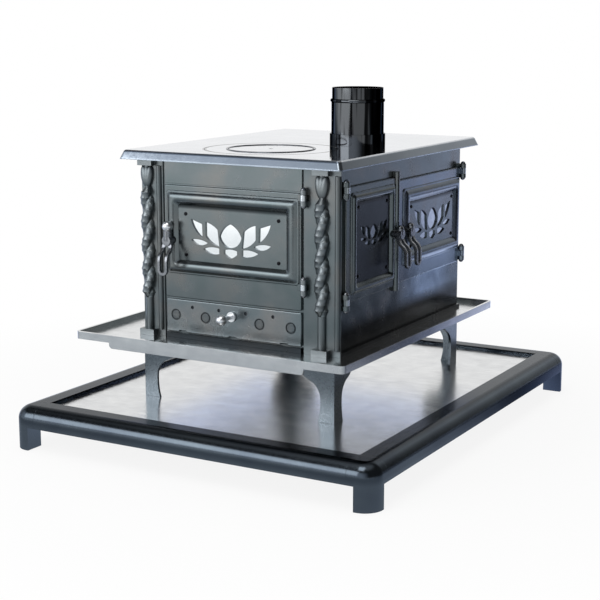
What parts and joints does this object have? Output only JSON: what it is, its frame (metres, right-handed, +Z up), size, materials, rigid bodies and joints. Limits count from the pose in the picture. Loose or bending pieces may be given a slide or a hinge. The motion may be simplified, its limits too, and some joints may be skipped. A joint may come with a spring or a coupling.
{
  "type": "wood cook stove",
  "caption": "Cast wood cook stove on splayed legs and a hearth tray, with lotus-pierced fire, side and oven doors, ash drawer, lift-out cooking ring and a flue stub.",
  "frame": {"origin": "on the floor under the middle of the hearth tray", "axes": "+X to the right along the front, +Y from the front to the back, +Z up"},
  "size_m": [0.9, 1.11, 0.786],
  "materials": {
    "graphite_enamel": "glossy graphite enamel on castings",
    "bare_casting": "bare casting, dull",
    "tray_paint": "dark blue-grey satin paint",
    "insulating_board": "pressed board, matt",
    "brushed_sheet": "brushed stainless sheet",
    "polished_plate": "mirror-polished plate",
    "bright_trim": "polished",
    "flue_black": "gloss black enamel",
    "firebrick": "fired clay, matt",
    "dark_steel": "blackened steel",
    "plain_sheet": "plain sheet steel",
    "lever_steel": "darkened steel, satin"
  },
  "bodies": {
    "stove": {"bottom_plate": "bare_casting", "cooktop_plate": "polished_plate", "firebox_floor": "bare_casting", "firebox_partition": "plain_sheet", "firebrick_left": "firebrick", "firebrick_rear": "firebrick", "floor_bearers": "bare_casting", "flue_collar": "flue_black", "flue_pipe": "flue_black", "flue_pipe_upper": "flue_black", "front_panel": "graphite_enamel", "grate": "bare_casting", "hinge_pins": "bright_trim", "left_panel": "graphite_enamel", "leg_bolts": "dark_steel", "leg_front_left": "graphite_enamel", "leg_front_right": "graphite_enamel", "leg_rear_left": "graphite_enamel", "leg_rear_right": "graphite_enamel", "oven_box": "plain_sheet", "oven_rack": "plain_sheet", "pilaster_left": "graphite_enamel", "pilaster_right": "graphite_enamel", "rear_panel": "graphite_enamel", "right_panel": "graphite_enamel", "shelf": "brushed_sheet", "tray_board": "insulating_board", "tray_corner_front_left": "tray_paint", "tray_corner_front_right": "tray_paint", "tray_corner_rear_left": "tray_paint", "tray_corner_rear_right": "tray_paint", "tray_front_rail": "tray_paint", "tray_left_rail": "tray_paint", "tray_rear_rail": "tray_paint", "tray_right_rail": "tray_paint", "tray_sheet": "brushed_sheet"},
    "fire_door": {"fire_door": "graphite_enamel", "fire_door_screen": "graphite_enamel", "fire_door_backing": "bright_trim", "fire_door_screws": "dark_steel"},
    "fire_door_handle": {"fire_door_handle": "lever_steel", "fire_door_latch": "lever_steel", "fire_door_handle_ball": "bright_trim"},
    "side_door": {"side_door": "graphite_enamel", "side_door_screen": "graphite_enamel", "side_door_backing": "bright_trim", "side_door_screws": "dark_steel"},
    "side_door_handle": {"side_door_handle": "lever_steel", "side_door_latch": "lever_steel"},
    "oven_door": {"oven_door": "graphite_enamel", "oven_door_screen": "graphite_enamel", "oven_door_backing": "bright_trim", "oven_door_screws": "dark_steel"},
    "oven_door_handle": {"oven_door_handle": "lever_steel", "oven_door_latch": "lever_steel"},
    "ash_drawer": {"ash_pan": "plain_sheet", "drawer_front": "graphite_enamel", "drawer_knob": "bright_trim"},
    "cooking_ring": {"cooking_ring": "polished_plate"},
    "ring_lid": {"ring_lid": "polished_plate"}
  },
  "joints": [
    {"name": "fire_door_hinge", "type": "hinge", "parent": "stove", "child": "fire_door", "pos_m": [0.1535, -0.3035, 0.45], "axis": [0, 0, 1], "range_deg": [0, 100]},
    {"name": "fire_door_latch", "type": "hinge", "parent": "fire_door", "child": "fire_door_handle", "pos_m": [-0.183, -0.3115, 0.456], "axis": [0, -1, 0], "range_deg": [0, 90]},
    {"name": "side_door_hinge", "type": "hinge", "parent": "stove", "child": "side_door", "pos_m": [0.243, -0.2805, 0.468], "axis": [0, 0, -1], "range_deg": [0, 100]},
    {"name": "side_door_latch", "type": "hinge", "parent": "side_door", "child": "side_door_handle", "pos_m": [0.251, -0.054, 0.468], "axis": [-1, 0, 0], "range_deg": [0, 90]},
    {"name": "oven_door_hinge", "type": "hinge", "parent": "stove", "child": "oven_door", "pos_m": [0.243, 0.3335, 0.466], "axis": [0, 0, 1], "range_deg": [0, 100]},
    {"name": "oven_door_latch", "type": "hinge", "parent": "oven_door", "child": "oven_door_handle", "pos_m": [0.251, -0.001, 0.468], "axis": [1, 0, 0], "range_deg": [0, 90]},
    {"name": "ash_drawer_slide", "type": "slide", "parent": "stove", "child": "ash_drawer", "axis": [0, -1, 0], "range_m": [0, 0.22]},
    {"name": "ring_lift", "type": "slide", "parent": "stove", "child": "cooking_ring", "axis": [0, 0, 1], "range_m": [0, 0.12]},
    {"name": "lid_lift", "type": "slide", "parent": "cooking_ring", "child": "ring_lid", "axis": [0, 0, 1], "range_m": [0, 0.12]}
  ]
}
